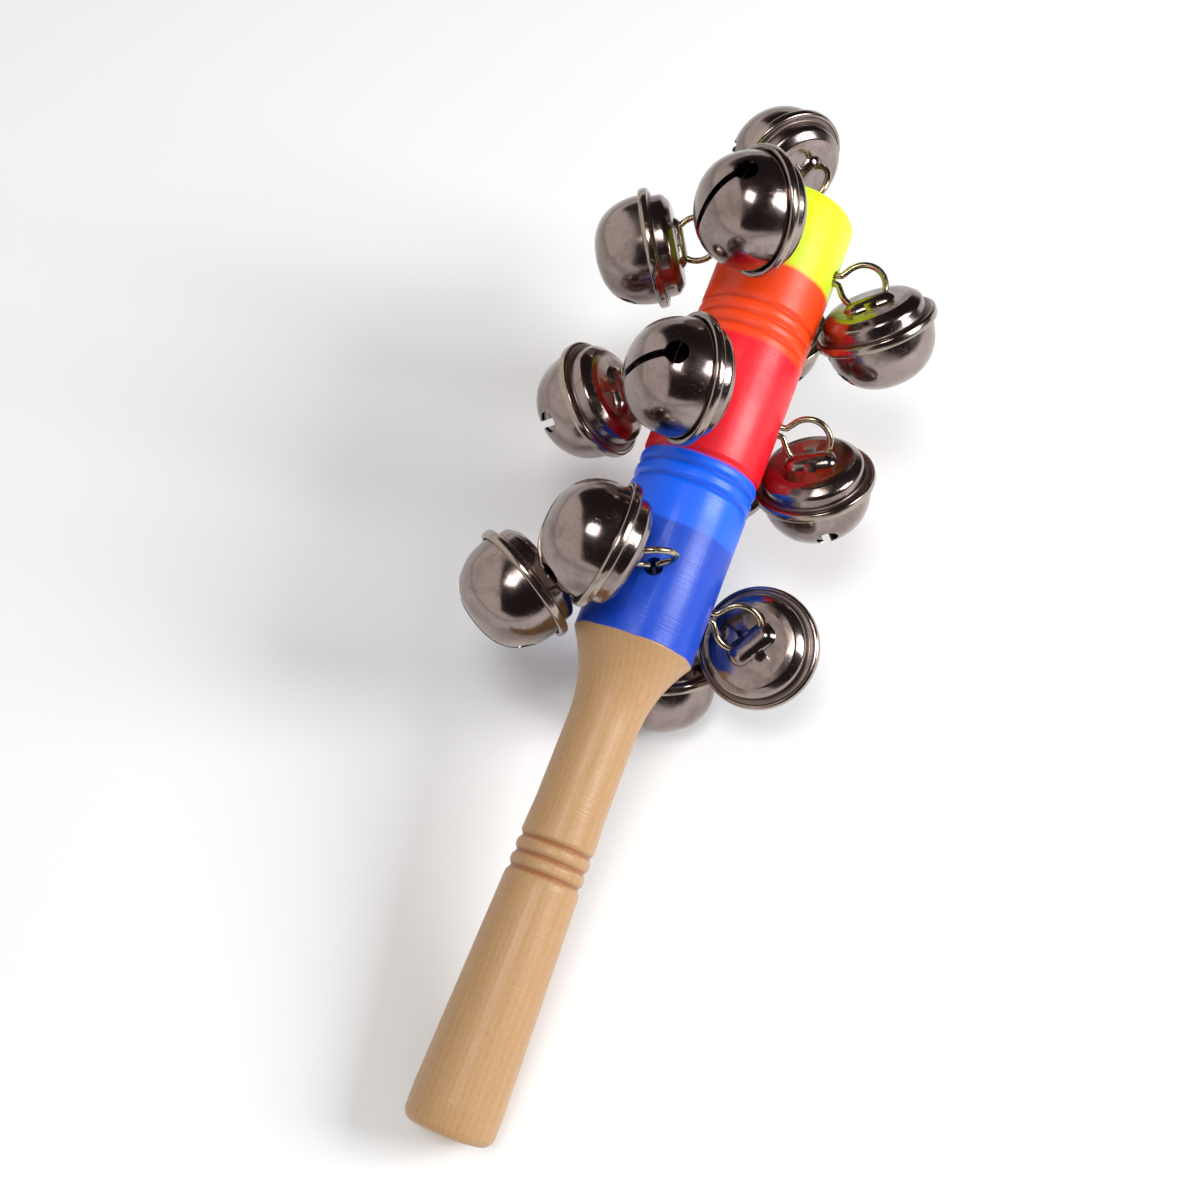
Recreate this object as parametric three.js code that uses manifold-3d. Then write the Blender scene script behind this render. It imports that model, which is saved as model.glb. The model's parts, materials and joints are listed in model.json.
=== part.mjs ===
// Hand-held sleigh bells: one turned wooden stick with thirteen two-shell steel bells,
// each hung on a wire eye whose two legs are driven into the wood.
// Units are millimetres. +Z is up from the table, +Y runs along the stick from butt to head,
// and the origin is the middle of the footprint, at table height.

import * as THREE from 'three';
import { mergeVertices } from 'three/addons/utils/BufferGeometryUtils.js';
import Module from 'manifold-3d';

const wasm = await Module();
wasm.setup();
const rad = THREE.MathUtils.degToRad;

// ---- stick: distances along it are measured from the butt -----------------
const STICK_LENGTH = 193.5;
const BUTT_RADIUS = 8.7;
const BUTT_ROUND = 2.2;
const GRIP_RADIUS = 7.35;
const GRIP_END = 46.5;
const GRIP_GROOVES = [48.3, 51.3, 54.3];
const GRIP_GROOVE_DEPTH = 0.6;
const NECK_RADIUS = 6.88;
const NECK_START = 62;
const NECK_END = 78;
const HEAD_START = 95;            // the flare meets the head's full radius here
const HEAD_RADIUS = 12;
const HEAD_GROOVES = [127, 130.2, 133.1, 160.6, 163.4, 166.2];
const HEAD_GROOVE_DEPTH = 0.4;
const HEAD_ROUND = 3;
const GROOVE_HALF = 0.8;
const FLARE_STEPS = 5;
const STICK_SIDES = 24;
const STICK_LEAN = rad(15.9);     // the bells under the head hold it up

// ---- wire eyes ------------------------------------------------------------
const WIRE_RADIUS = 0.65;
const EYE_RADIUS = 4.5;           // to the middle of the wire
const EYE_CLEARANCE = 0.75;       // ring to wood, bridged by the two legs
const EYE_OPEN = rad(140);        // where the ring turns into its legs, from its outer end
const LEG_DEPTH = 6;
const LEG_HALF_GAP = 0.85;        // the two legs lie side by side in one hole
const HOLE_CLEARANCE = 0.3;
const HOLE_SIDES = 8;
const WIRE_SIDES = 6;
const EYE_STEPS = 20;

// ---- bells: the origin is the wire the bell hangs on, +Z points to its slot
const RIM_DROP = 4.6;             // wire centre to the middle of the rolled rim
const RIM_RADIUS = 12.4;
const RIM_HALF = 0.9;
const RIM_LIP = 0.4;              // sheet thickness of the rolled rim
const SHEET = 0.6;
const UPPER_RADIUS = 10.5;
const TOP_RADIUS = 8;
const TOP_HEIGHT = -SHEET;        // outer face of the flat top
const LOWER_RADIUS = 11.2;
const LOWER_DEPTH = 12.1;         // rim middle to the slot end
const LOWER_SQUARENESS = 2.5;     // exponent of the lower shell's curve
const FLANGE_RADIUS = 11.75;
const FLANGE_HALF = 0.2;
const SEAM_GAP = 0.3;             // the flange sits in the rolled rim with this much air
const SHELL_SIDES = 14;
const STRAP_HALF_WIDTH = 1.25;
const STRAP_UNDER = -0.95;        // clears the wire by the same small gap
const STRAP_OVER = -1.45;
const OPENING_HALF_LENGTH = 5.6;  // the opening under the strap, along the wire
const OPENING_HALF_WIDTH = 2.9;
const SLOT_HALF_WIDTH = 0.75;
const SLOT_HOLE_RADIUS = 2.2;
const SLOT_HOLE_TILT = rad(52);   // hole's angle from the slot end, seen from the rim's middle
const PELLET_RADIUS = 3.2;
const PELLET_REACH = 6.4;         // how far the pellet's centre can go sideways
const PELLET_RISE = 4.0;          // and along the bell's axis
const CAVITY_CENTRE = RIM_DROP + 3.7;

// Where each bell hangs. 'along' is the eye's distance from the butt and 'around' its turn
// about the stick (0 up, 90 right). 'twist' turns the eye about its legs, 'travel' is how far
// the bell has slid round the eye from its outer end (positive to the head), 'swing' is the
// bell's turn on the wire, and 'slot' turns the lower shell about the bell's own axis.
const BELLS = [
  { name: 'bell_top_front', along: 180, around: 0, twist: 30, travel: -5, swing: 60, slot: 21 },
  { name: 'bell_top_right', along: 180, around: 84, twist: 7, travel: -54, swing: -40, slot: 251 },
  { name: 'bell_top_back', along: 180.5, around: 182, twist: 10, travel: -20, swing: 12, slot: 30 },
  { name: 'bell_top_left', along: 180.5, around: 271, twist: -17, travel: -29, swing: -2, slot: 89 },
  { name: 'bell_middle_front', along: 145, around: 359, twist: 2, travel: -29, swing: 54, slot: 35 },
  { name: 'bell_middle_right', along: 146.5, around: 97, twist: 34, travel: -62, swing: -23, slot: 170 },
  { name: 'bell_middle_back', along: 145.5, around: 183, twist: -8, travel: -35, swing: -10, slot: 110 },
  { name: 'bell_middle_left', along: 146, around: 272, twist: -3, travel: -34, swing: 30, slot: 339 },
  { name: 'bell_low_front', along: 108.5, around: 1, twist: -67, travel: -67, swing: 24, slot: 352 },
  { name: 'bell_low_right', along: 106.5, around: 105, twist: 28, travel: -28, swing: -58, slot: 160 },
  { name: 'bell_low_back', along: 104, around: 175, twist: -12, travel: -56, swing: 4, slot: 163 },
  { name: 'bell_low_left', along: 103.5, around: 283, twist: 63, travel: -36, swing: 52, slot: 40 },
  { name: 'bell_end', end: true, along: STICK_LENGTH, around: 0, twist: 52, travel: 55, swing: 11, slot: 144 },
];

// ---- helpers --------------------------------------------------------------
// A closed geometry as a manifold solid, with the lathe's zero-area faces left out.
function toSolid(geometry) {
  const bare = geometry.clone();
  bare.deleteAttribute('normal');
  bare.deleteAttribute('uv');
  const welded = mergeVertices(bare, 1e-4);
  const index = welded.index.array;
  const faces = [];
  for (let i = 0; i < index.length; i += 3) {
    const [a, b, c] = index.slice(i, i + 3);
    if (a !== b && b !== c && c !== a) faces.push(a, b, c);
  }
  return new wasm.Manifold(new wasm.Mesh({
    numProp: 3,
    vertProperties: new Float32Array(welded.attributes.position.array),
    triVerts: new Uint32Array(faces),
  }));
}

function toGeometry(solid) {
  const mesh = solid.getMesh();
  const geometry = new THREE.BufferGeometry();
  geometry.setAttribute('position', new THREE.BufferAttribute(mesh.vertProperties, 3));
  geometry.setIndex(new THREE.BufferAttribute(mesh.triVerts, 1));
  geometry.computeVertexNormals();
  return geometry;
}

// Radius and height pairs turned about +Y.
function turned(pairs, sides) {
  return new THREE.LatheGeometry(pairs.map(([r, y]) => new THREE.Vector2(r, y)), sides);
}

// The same, turned about +Z, for the bells.
function turnedUp(pairs, sides) {
  return turned(pairs, sides).rotateX(Math.PI / 2);
}

function material(color, metalness, roughness) {
  return new THREE.MeshStandardMaterial({ color, metalness, roughness });
}

function addMesh(parent, name, geometry, look) {
  const mesh = new THREE.Mesh(geometry, look);
  mesh.name = name;
  parent.add(mesh);
}

// ---- stick ----------------------------------------------------------------
function grooves(centres, radius, depth) {
  return centres.flatMap((s) => [
    [radius, s - GROOVE_HALF],
    [radius - depth, s],
    [radius, s + GROOVE_HALF],
  ]);
}

function stickProfile() {
  const flare = [];
  for (let i = 1; i <= FLARE_STEPS; i += 1) {
    const t = i / FLARE_STEPS;
    flare.push([
      NECK_RADIUS + (HEAD_RADIUS - NECK_RADIUS) * t ** 2.2,
      NECK_END + (HEAD_START - NECK_END) * t,
    ]);
  }
  return [
    [0, 0],
    [BUTT_RADIUS - BUTT_ROUND, 0],
    [BUTT_RADIUS - 0.6, 0.6],
    [BUTT_RADIUS, BUTT_ROUND],
    [GRIP_RADIUS, GRIP_END],
    ...grooves(GRIP_GROOVES, GRIP_RADIUS - 0.1, GRIP_GROOVE_DEPTH),
    [NECK_RADIUS + 0.05, NECK_START],
    [NECK_RADIUS, NECK_END],
    ...flare,
    ...grooves(HEAD_GROOVES, HEAD_RADIUS, HEAD_GROOVE_DEPTH),
    [HEAD_RADIUS, STICK_LENGTH - HEAD_ROUND],
    [HEAD_RADIUS - 0.3 * HEAD_ROUND, STICK_LENGTH - 0.3 * HEAD_ROUND],
    [HEAD_RADIUS - HEAD_ROUND, STICK_LENGTH],
    [0, STICK_LENGTH],
  ];
}

// ---- wire eye: +Z points out of the wood and z = 0 is the wood's surface ---
const EYE_CENTRE = EYE_RADIUS + WIRE_RADIUS + EYE_CLEARANCE;

function eyeGeometry() {
  const half = [];
  half.push(new THREE.Vector3(0, -LEG_HALF_GAP, -LEG_DEPTH));
  half.push(new THREE.Vector3(0, -LEG_HALF_GAP, -LEG_DEPTH / 2));
  half.push(new THREE.Vector3(0, -LEG_HALF_GAP, -0.6));
  for (let i = 0; i < 5; i += 1) {
    const turn = EYE_OPEN * (1 - i / 5);
    half.push(new THREE.Vector3(
      0,
      -EYE_RADIUS * Math.sin(turn),
      EYE_CENTRE + EYE_RADIUS * Math.cos(turn),
    ));
  }
  const other = half.map((p) => new THREE.Vector3(0, -p.y, p.z)).reverse();
  const top = new THREE.Vector3(0, 0, EYE_CENTRE + EYE_RADIUS);
  const path = new THREE.CatmullRomCurve3([...half, top, ...other]);

  const section = [];
  for (let i = 0; i < WIRE_SIDES; i += 1) {
    const turn = (2 * Math.PI * i) / WIRE_SIDES;
    section.push(new THREE.Vector2(WIRE_RADIUS * Math.cos(turn), WIRE_RADIUS * Math.sin(turn)));
  }
  return new THREE.ExtrudeGeometry(new THREE.Shape(section), {
    steps: EYE_STEPS,
    bevelEnabled: false,
    extrudePath: path,
  });
}

function eyeHole() {
  const depth = LEG_DEPTH + HOLE_CLEARANCE;
  const radius = (LEG_HALF_GAP + WIRE_RADIUS + HOLE_CLEARANCE) / Math.cos(Math.PI / HOLE_SIDES);
  const above = 1;
  return new THREE.CylinderGeometry(radius, radius, depth + above, HOLE_SIDES)
    .rotateX(Math.PI / 2)
    .translate(0, 0, (above - depth) / 2);
}

// ---- bell shells ----------------------------------------------------------
const RIM_BACK = RIM_DROP - RIM_HALF;     // rolled rim, side facing the wire
const RIM_FRONT = RIM_DROP + RIM_HALF;    // rolled rim, side facing the slot

function upperShell() {
  const cavity = RIM_RADIUS - 0.35;
  const lip = LOWER_RADIUS + SEAM_GAP;
  const shell = toSolid(turnedUp([
    [0, TOP_HEIGHT],
    [TOP_RADIUS, TOP_HEIGHT],
    [UPPER_RADIUS - 0.8, 0],
    [UPPER_RADIUS, 1.5],
    [UPPER_RADIUS, RIM_BACK],
    [RIM_RADIUS - 0.45, RIM_BACK],
    [RIM_RADIUS, RIM_DROP - 0.4],
    [RIM_RADIUS, RIM_DROP + 0.4],
    [RIM_RADIUS - 0.45, RIM_FRONT],
    [lip, RIM_FRONT],
    [lip, RIM_FRONT - RIM_LIP],
    [cavity, RIM_FRONT - RIM_LIP],
    [cavity, RIM_BACK + RIM_LIP],
    [UPPER_RADIUS - SHEET, RIM_BACK + RIM_LIP],
    [UPPER_RADIUS - SHEET, 1.6],
    [TOP_RADIUS - 0.3, 0],
    [0, 0],
  ], SHELL_SIDES));

  const corner = 1.6;
  const long = OPENING_HALF_LENGTH;
  const wide = OPENING_HALF_WIDTH;
  const outline = new THREE.Shape([
    [wide, long - corner], [wide - corner, long], [corner - wide, long], [-wide, long - corner],
    [-wide, corner - long], [corner - wide, -long], [wide - corner, -long], [wide, corner - long],
  ].map(([x, y]) => new THREE.Vector2(x, y)));
  const opening = new THREE.ExtrudeGeometry(outline, { depth: 4, bevelEnabled: false });
  opening.translate(0, 0, -2);

  const arch = new THREE.Shape([
    [-4.2, -0.3], [-2.6, -0.3], [-1.9, STRAP_UNDER], [1.9, STRAP_UNDER],
    [2.6, -0.3], [4.2, -0.3], [2.7, STRAP_OVER], [-2.7, STRAP_OVER],
  ].map(([x, z]) => new THREE.Vector2(x, z)));
  const strap = new THREE.ExtrudeGeometry(arch, { depth: 2 * STRAP_HALF_WIDTH, bevelEnabled: false });
  strap.rotateX(Math.PI / 2).translate(0, STRAP_HALF_WIDTH, 0);
  return shell.subtract(toSolid(opening)).add(toSolid(strap));
}

function lowerRadiusAt(depth, radius, reach) {
  return radius * (1 - (depth / reach) ** LOWER_SQUARENESS) ** (1 / LOWER_SQUARENESS);
}

function lowerShell() {
  const outer = [0.35, 0.65, 0.87, 0.975].map((share) => {
    const depth = share * LOWER_DEPTH;
    return [lowerRadiusAt(depth, LOWER_RADIUS, LOWER_DEPTH), RIM_DROP + depth];
  });
  const insideDepth = LOWER_DEPTH - SHEET;
  const inner = [0.5, 0.8, 0.96].map((share) => {
    const depth = share * insideDepth;
    return [lowerRadiusAt(depth, LOWER_RADIUS - SHEET, insideDepth), RIM_DROP + depth];
  });
  const shell = toSolid(turnedUp([
    [0, RIM_DROP + insideDepth],
    ...inner.reverse(),
    [LOWER_RADIUS - SHEET, RIM_DROP - FLANGE_HALF],
    [FLANGE_RADIUS, RIM_DROP - FLANGE_HALF],
    [FLANGE_RADIUS, RIM_DROP + FLANGE_HALF],
    [LOWER_RADIUS, RIM_DROP + FLANGE_HALF],
    ...outer,
    [0, RIM_DROP + LOWER_DEPTH],
  ], SHELL_SIDES));

  // A thin fan cut over the slot end, and a round hole at each of its ends.
  const reach = 2 * LOWER_DEPTH;
  const fan = new THREE.Shape();
  fan.moveTo(0, 0);
  for (const share of [-1, 0, 1]) {
    const turn = share * SLOT_HOLE_TILT;
    fan.lineTo(reach * Math.sin(turn), reach * Math.cos(turn));
  }
  const cut = new THREE.ExtrudeGeometry(fan, { depth: 2 * SLOT_HALF_WIDTH, bevelEnabled: false });
  cut.rotateX(Math.PI / 2).translate(0, SLOT_HALF_WIDTH, RIM_DROP);
  let slotted = shell.subtract(toSolid(cut));
  for (const side of [-1, 1]) {
    const hole = new THREE.CylinderGeometry(SLOT_HOLE_RADIUS, SLOT_HOLE_RADIUS, 12, 8);
    hole.rotateX(Math.PI / 2).translate(0, 0, 12);
    hole.rotateY(side * SLOT_HOLE_TILT).translate(0, 0, RIM_DROP);
    slotted = slotted.subtract(toSolid(hole));
  }
  return slotted;
}

// ---- assembly -------------------------------------------------------------
const steel = material('#6f6a66', 1, 0.25);
const wire = material('#8d7f5c', 1, 0.35);
const paintedWood = material('#c8a57a', 0, 0.4);
const pelletSteel = material('#4c4a49', 1, 0.4);

const group = new THREE.Group();
const stick = new THREE.Group();
stick.rotation.x = STICK_LEAN;
group.add(stick);

// A stand stands on the wood where an eye is driven in, with +Z out of the wood.
function standAt(bell) {
  const stand = new THREE.Group();
  stand.position.y = bell.along;
  stand.rotation.y = rad(bell.around);
  const face = new THREE.Group();
  if (bell.end) face.rotation.x = -Math.PI / 2;
  else face.position.z = HEAD_RADIUS;
  stand.add(face);
  const twisted = new THREE.Group();
  twisted.rotation.z = rad(bell.twist);
  face.add(twisted);
  stick.add(stand);
  return twisted;
}

const upperGeometry = toGeometry(upperShell());
const lowerGeometry = toGeometry(lowerShell());
let wood = toSolid(turned(stickProfile(), STICK_SIDES));

for (const bell of BELLS) {
  const stand = standAt(bell);
  stick.updateMatrixWorld(true);
  const toStick = stick.matrixWorld.clone().invert().multiply(stand.matrixWorld);
  wood = wood.subtract(toSolid(eyeHole().applyMatrix4(toStick)));
  addMesh(stand, `${bell.name}_loop_pin`, eyeGeometry(), wire.clone());

  const travelled = new THREE.Group();
  travelled.position.z = EYE_CENTRE;
  travelled.rotation.x = -rad(bell.travel);
  stand.add(travelled);
  const hung = new THREE.Group();
  hung.position.z = EYE_RADIUS;
  hung.rotation.y = -rad(bell.swing);
  travelled.add(hung);
  addMesh(hung, `${bell.name}_upper_shell`, upperGeometry.clone(), steel.clone());

  const slotted = new THREE.Group();
  slotted.rotation.z = rad(bell.slot);
  hung.add(slotted);
  addMesh(slotted, `${bell.name}_lower_shell`, lowerGeometry.clone(), steel.clone());

  // The loose pellet lies at the lowest place it can reach.
  const down = new THREE.Vector3(0, 0, -1);
  stick.updateMatrixWorld(true);
  down.applyQuaternion(hung.getWorldQuaternion(new THREE.Quaternion()).invert());
  const sideways = Math.hypot(down.x, down.y);
  const reach = 1 / Math.hypot(sideways / PELLET_REACH, down.z / PELLET_RISE);
  const pellet = new THREE.IcosahedronGeometry(PELLET_RADIUS, 1);
  pellet.translate(down.x * reach, down.y * reach, CAVITY_CENTRE + down.z * reach);
  addMesh(hung, `${bell.name}_pellet`, pellet, pelletSteel.clone());
}
addMesh(stick, 'stick', toGeometry(wood), paintedWood);

// Stand the whole on the table, over the middle of its footprint.
group.updateMatrixWorld(true);
const box = new THREE.Box3().setFromObject(group, true);
stick.position.set(-(box.min.x + box.max.x) / 2, -(box.min.y + box.max.y) / 2, -box.min.z);

export default group;
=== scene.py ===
"""Finished looks for the hand-held sleigh bells: a turned stick with a banded head and
thirteen two-shell bells on wire eyes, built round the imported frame."""

import json
import math

import bpy
from mathutils import Matrix, Vector

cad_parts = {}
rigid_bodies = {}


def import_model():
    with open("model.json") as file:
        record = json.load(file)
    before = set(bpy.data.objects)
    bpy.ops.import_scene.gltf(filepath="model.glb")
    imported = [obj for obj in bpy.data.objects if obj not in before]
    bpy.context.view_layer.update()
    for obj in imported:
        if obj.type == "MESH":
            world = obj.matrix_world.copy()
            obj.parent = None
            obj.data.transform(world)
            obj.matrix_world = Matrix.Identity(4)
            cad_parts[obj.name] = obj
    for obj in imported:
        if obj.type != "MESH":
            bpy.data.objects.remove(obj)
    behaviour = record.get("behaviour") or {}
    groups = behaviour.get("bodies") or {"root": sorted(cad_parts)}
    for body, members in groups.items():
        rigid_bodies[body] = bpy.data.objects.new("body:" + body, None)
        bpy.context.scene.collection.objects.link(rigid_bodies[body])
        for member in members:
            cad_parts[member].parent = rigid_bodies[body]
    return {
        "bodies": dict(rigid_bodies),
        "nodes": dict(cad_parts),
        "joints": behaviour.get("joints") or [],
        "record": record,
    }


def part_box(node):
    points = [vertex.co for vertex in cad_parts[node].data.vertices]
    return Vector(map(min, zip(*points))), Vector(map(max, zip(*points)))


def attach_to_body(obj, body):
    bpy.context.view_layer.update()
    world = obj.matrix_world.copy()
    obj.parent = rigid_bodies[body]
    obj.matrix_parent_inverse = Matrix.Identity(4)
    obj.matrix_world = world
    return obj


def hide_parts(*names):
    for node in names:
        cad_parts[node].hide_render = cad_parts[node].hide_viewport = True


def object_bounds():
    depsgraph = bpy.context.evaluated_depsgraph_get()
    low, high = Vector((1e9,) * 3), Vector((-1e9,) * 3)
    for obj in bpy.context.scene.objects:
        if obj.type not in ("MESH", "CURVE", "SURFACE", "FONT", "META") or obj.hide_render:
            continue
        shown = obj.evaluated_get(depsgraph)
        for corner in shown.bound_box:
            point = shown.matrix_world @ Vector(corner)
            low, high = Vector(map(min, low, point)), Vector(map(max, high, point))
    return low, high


bl_info = {
    "name": "Sleigh Bells",
    "version": (1, 0, 0),
    "blender": (4, 5, 0),
    "location": "View3D > Sidebar > Sleigh Bells",
    "description": "Builds the pieces and finishes of a stick of jingle bells",
    "category": "Add Mesh",
}

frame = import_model()
CAD_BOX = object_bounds()

MM = 0.001
TURN = 2 * math.pi
BELLS = [
    name for name in frame["bodies"]
    if name.startswith("bell_") and not name.endswith("_pellet")
]
JOINTS = {joint["name"]: joint for joint in frame["joints"]}
BUTT = next(mount for mount in frame["record"]["mounts"] if mount["name"] == "butt_face")

# Distances along the stick, from the butt, in millimetres.
STICK_LENGTH = 193.5
GRIP_END = 46.5
GRIP_GROOVES = (48.3, 51.3, 54.3)
NECK_START = 62.0
NECK_END = 78.0
HEAD_START = 95.0
HEAD_GROOVES = (127.0, 130.2, 133.1, 160.6, 163.4, 166.2)
GROOVE_HALF = 0.95
PAINT_START = 95.1
BAND_EDGES = (118.5, 132.9, 158.5, 175.3)

# Where the camera stands, seen from the butt in metres, and which way it is turned.
CAMERA_FROM_BUTT = Vector((0.04705, -0.04353, 0.2882))
CAMERA_RIGHT = Vector((0.9289, 0.3702, 0)).normalized()
CAMERA_BACK = Vector((0.1868, -0.4688, 0.8633)).normalized()
CAMERA_UP = CAMERA_BACK.cross(CAMERA_RIGHT)

LATHE_STEPS = 96
SLOT_HOLE_TILT = math.radians(52)
BOWL_SQUARENESS = 2.5


def tint(red, green, blue):
    """A colour given as it is seen, from 0 to 255, as linear light."""
    def linear(value):
        share = value / 255
        return share / 12.92 if share <= 0.04045 else ((share + 0.055) / 1.055) ** 2.4
    return (linear(red), linear(green), linear(blue), 1.0)


def length(name, about, value):
    """A length property whose default is given in millimetres."""
    return bpy.props.FloatProperty(
        name=name, description=about, default=value * MM, min=0, unit="LENGTH", precision=5
    )


def colour(name, about, value):
    """A colour property."""
    return bpy.props.FloatVectorProperty(
        name=name, description=about, default=value, size=4, min=0, max=1, subtype="COLOR"
    )


class StickSizes(bpy.types.PropertyGroup):
    """Turned stick."""

    butt_radius: length("Butt radius", "Radius at the fat end of the handle", 8.7)
    grip_radius: length("Grip radius", "Radius just below the three handle grooves", 7.35)
    neck_radius: length("Neck radius", "Radius at the thinnest place", 6.88)
    head_radius: length("Head radius", "Radius of the painted head", 12.0)
    butt_round: length("Butt rounding", "Rounding of the butt's edge", 2.4)
    head_round: length("Head rounding", "Rounding of the head's far edge", 3.0)
    grip_groove: length("Handle groove depth", "Depth of the handle grooves", 0.6)
    head_groove: length("Head groove depth", "Depth of the grooves in the head", 0.45)


class BellSizes(bpy.types.PropertyGroup):
    """Two-shell bell. Heights are measured from the wire it hangs on."""

    rim_radius: length("Rim radius", "Radius of the rolled rim", 12.4)
    rim_drop: length("Rim drop", "Distance from the wire to the rolled rim", 4.6)
    upper_radius: length("Upper radius", "Radius of the upper shell's wall", 10.5)
    lower_radius: length("Lower radius", "Radius of the lower shell at the rim", 11.2)
    lower_depth: length("Lower depth", "Distance from the rim to the slot end", 12.1)
    sheet: length("Sheet", "Thickness of the pressed sheet", 0.6)
    slot_width: length("Slot width", "Width of the slot", 1.5)
    hole_radius: length("Hole radius", "Radius of the holes that end the slot", 2.2)
    shot_radius: length("Shot radius", "Radius of the loose ball", 3.1)


class WireSizes(bpy.types.PropertyGroup):
    """Wire eye driven into the wood."""

    wire_radius: length("Wire radius", "Half the thickness of the wire", 0.65)
    eye_radius: length("Eye radius", "Radius of the eye to the middle of its wire", 4.5)
    eye_centre: length("Eye height", "Distance from the wood to the middle of the eye", 5.9)
    leg_depth: length("Leg depth", "How far the legs go into the wood", 6.0)
    leg_half_gap: length("Leg half gap", "Half the distance between the legs", 0.85)


class Finishes(bpy.types.PropertyGroup):
    """Colours."""

    wood: colour("Wood", "Varnished wood", tint(186, 147, 103))
    wood_dark: colour("Wood grain", "Darker streaks in the wood", tint(158, 114, 72))
    groove: colour("Burnt groove", "Colour in the handle grooves", tint(146, 84, 48))
    dark_blue: colour("Dark blue", "Band next to the handle", tint(0, 66, 190))
    light_blue: colour("Light blue", "Second band", tint(4, 98, 248))
    red: colour("Red", "Third band", tint(246, 12, 36))
    orange: colour("Orange", "Fourth band", tint(255, 72, 18))
    yellow: colour("Yellow", "Band at the far end", tint(222, 248, 26))
    steel: colour("Dark nickel", "Plated shells", (0.31, 0.25, 0.23, 1))
    steel_dull: colour("Dulled nickel", "Dulled patches of the plating", (0.165, 0.125, 0.11, 1))
    wire: colour("Wire", "Drawn wire", (0.50, 0.42, 0.27, 1))
    wire_dull: colour("Dulled wire", "Dulled patches of the wire", (0.24, 0.19, 0.12, 1))
    shot: colour("Shot", "Steel ball in each bell", (0.34, 0.32, 0.30, 1))
    floor: colour("Floor", "Studio floor", (0.93, 0.93, 0.93, 1))


class StudioSizes(bpy.types.PropertyGroup):
    """Camera and light."""

    lens: bpy.props.FloatProperty(
        name="Lens", description="Focal length of the camera, in millimetres", default=46.5, min=10
    )
    window_power: bpy.props.FloatProperty(
        name="Window power", description="Power of the main window light", default=2.8,
        min=0, unit="POWER",
    )
    side_power: bpy.props.FloatProperty(
        name="Side power", description="Power of the narrow side light", default=7.5,
        min=0, unit="POWER",
    )
    room_light: bpy.props.FloatProperty(
        name="Room light", description="Strength of the light from the room", default=0.48, min=0
    )


# ---- modelling helpers ----------------------------------------------------
def deselect():
    """Leave edit mode with nothing selected."""
    if bpy.context.object is not None and bpy.context.object.mode != "OBJECT":
        bpy.ops.object.mode_set(mode="OBJECT")
    bpy.ops.object.select_all(action="DESELECT")


def pick(obj):
    """Make obj the only selected object and the active one."""
    deselect()
    obj.select_set(True)
    bpy.context.view_layer.objects.active = obj
    return obj


def traced(name, points):
    """A line through the points, extruded from one vertex; it is left in edit mode."""
    deselect()
    bpy.ops.mesh.primitive_plane_add(size=MM)
    obj = bpy.context.object
    obj.name = obj.data.name = name
    bpy.ops.object.mode_set(mode="EDIT")
    bpy.ops.mesh.select_mode(type="VERT")
    bpy.ops.mesh.merge(type="CENTER")
    bpy.ops.transform.translate(value=points[0])
    for before, after in zip(points, points[1:]):
        bpy.ops.mesh.extrude_region_move(TRANSFORM_OT_translate={"value": after - before})
    return obj


def lathed(name, profile, steps):
    """A closed body turned about Z from (radius, height) points that start and end on Z."""
    obj = traced(name, [Vector((radius, 0, height)) for radius, height in profile])
    bpy.ops.mesh.select_all(action="SELECT")
    bpy.ops.mesh.spin(steps=steps, angle=TURN, center=(0, 0, 0), axis=(0, 0, 1))
    bpy.ops.mesh.select_all(action="SELECT")
    bpy.ops.mesh.remove_doubles(threshold=0.002 * MM)
    bpy.ops.mesh.normals_make_consistent(inside=False)
    bpy.ops.object.mode_set(mode="OBJECT")
    return obj


def eased(corners, steps=4):
    """Points along (x, y, rounding) corners, in metres, with each corner rounded."""
    line = []
    for index, (x, y, rounding) in enumerate(corners):
        here = Vector((x, y, 0))
        if rounding == 0:
            line.append(here)
            continue
        back = (Vector((*corners[index - 1][:2], 0)) - here).normalized()
        on = (Vector((*corners[index + 1][:2], 0)) - here).normalized()
        half = back.angle(on) / 2
        centre = here + (back + on).normalized() * rounding / math.sin(half)
        start = (here + back * rounding / math.tan(half) - centre).normalized()
        end = (here + on * rounding / math.tan(half) - centre).normalized()
        line += [centre + start.slerp(end, k / steps) * rounding for k in range(steps + 1)]
    return [(point.x, point.y) for point in line]


def apply_modifier(obj, kind, **values):
    """Add a modifier to obj with these values and apply it."""
    pick(obj)
    modifier = obj.modifiers.new(kind.title(), kind)
    for key, value in values.items():
        setattr(modifier, key, value)
    bpy.ops.object.modifier_apply(modifier=modifier.name)


def combine(obj, tool, operation):
    """Cut tool from obj, or add it, and remove it."""
    apply_modifier(obj, "BOOLEAN", operation=operation, object=tool, solver="EXACT")
    if not obj.data.polygons:
        raise RuntimeError(f"nothing was left of {obj.name} after its cut")
    mesh = tool.data
    bpy.data.objects.remove(tool)
    bpy.data.meshes.remove(mesh)


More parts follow.
